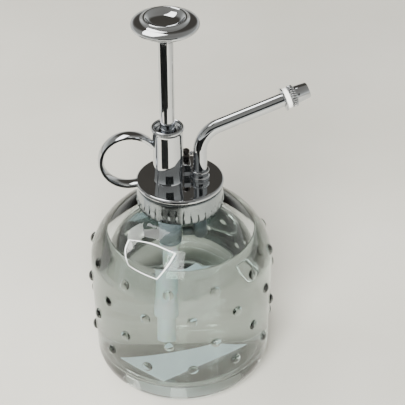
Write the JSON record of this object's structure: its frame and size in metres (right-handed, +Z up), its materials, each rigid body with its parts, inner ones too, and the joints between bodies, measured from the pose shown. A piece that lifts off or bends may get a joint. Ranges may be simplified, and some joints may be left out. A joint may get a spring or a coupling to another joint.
{
  "type": "glass plant mister with a plunger pump",
  "caption": "Clear glass plant mister with a bright metal pump head: plunger and thumb button, finger ring, bent spout and turning nozzle.",
  "frame": {"origin": "centre of the bottle's foot, on the surface that it stands on", "axes": "+Z up along the bottle's axis; +X the way the spout points; the finger ring is on the -X side"},
  "size_m": [0.0979, 0.0816, 0.178],
  "materials": {
    "clear_glass": "clear pressed glass with a faint grey-green tint",
    "mirror_chrome": "polished chrome plate",
    "satin_chrome": "duller chrome plate on a moulded, ribbed skirt",
    "spring_steel": "bright steel",
    "dark_metal": "dark head",
    "brass": "machined brass",
    "grey_plastic": "dark grey moulded plastic",
    "blue_grey_plastic": "blue-grey moulded plastic",
    "milky_plastic": "milky, slightly see-through plastic",
    "white_plastic": "white moulded plastic",
    "white_rubber": "soft white washer",
    "black_rubber": "black seal rubber"
  },
  "bodies": {
    "bottle": {"bottle": "clear_glass"},
    "head": {"mouth_gasket": "white_rubber", "head_plate": "mirror_chrome", "pump_flange": "grey_plastic", "pump_barrel": "mirror_chrome", "gland_nut": "mirror_chrome", "rod_wiper": "black_rubber", "finger_ring": "mirror_chrome", "bridge_block": "mirror_chrome", "vent_screw": "dark_metal", "set_screw": "mirror_chrome", "spout_collar": "mirror_chrome", "spout_tube": "mirror_chrome", "nozzle_flange": "mirror_chrome", "nozzle_washer": "white_plastic", "swirl_core": "brass", "return_spring": "spring_steel", "pump_cylinder": "blue_grey_plastic", "outlet_duct": "grey_plastic", "inlet_housing": "milky_plastic", "inlet_seat": "white_plastic", "dip_tube": "milky_plastic"},
    "collar": {"collar_nut": "satin_chrome"},
    "plunger": {"button": "mirror_chrome", "plunger_rod": "mirror_chrome", "piston": "brass", "piston_seal": "black_rubber"},
    "nozzle": {"nozzle_cap": "mirror_chrome"},
    "inlet_valve": {"inlet_ball": "spring_steel"},
    "outlet_valve": {"outlet_ball": "spring_steel"}
  },
  "joints": [
    {"name": "head_lift", "type": "slide", "parent": "bottle", "child": "head", "axis": [0, 0, 1], "range_m": [0, 0.005]},
    {"name": "collar_turn", "type": "hinge", "parent": "head", "child": "collar", "pos_m": [0, 0, 0.0917], "axis": [0, 0, 1], "range_deg": [0, 450]},
    {"name": "plunger_slide", "type": "slide", "parent": "head", "child": "plunger", "axis": [0, 0, 1], "range_m": [-0.036, 0], "stiffness_N_per_m": 150, "springref_m": 0.02, "deforming": ["return_spring"]},
    {"name": "nozzle_turn", "type": "hinge", "parent": "head", "child": "nozzle", "pos_m": [0.0088, 0, 0.121], "axis": [0.9482, 0.1843, 0.2588], "range_deg": [0, 180]},
    {"name": "inlet_ball_lift", "type": "slide", "parent": "head", "child": "inlet_valve", "axis": [0, 0, 1], "range_m": [0, 0.0015]},
    {"name": "outlet_ball_lift", "type": "slide", "parent": "head", "child": "outlet_valve", "axis": [0, 0, 1], "range_m": [0, 0.0015]}
  ],
  "couplings": [
    {"joint": "collar_turn", "follows": "head_lift", "rad_per_m": 1570.8}
  ]
}
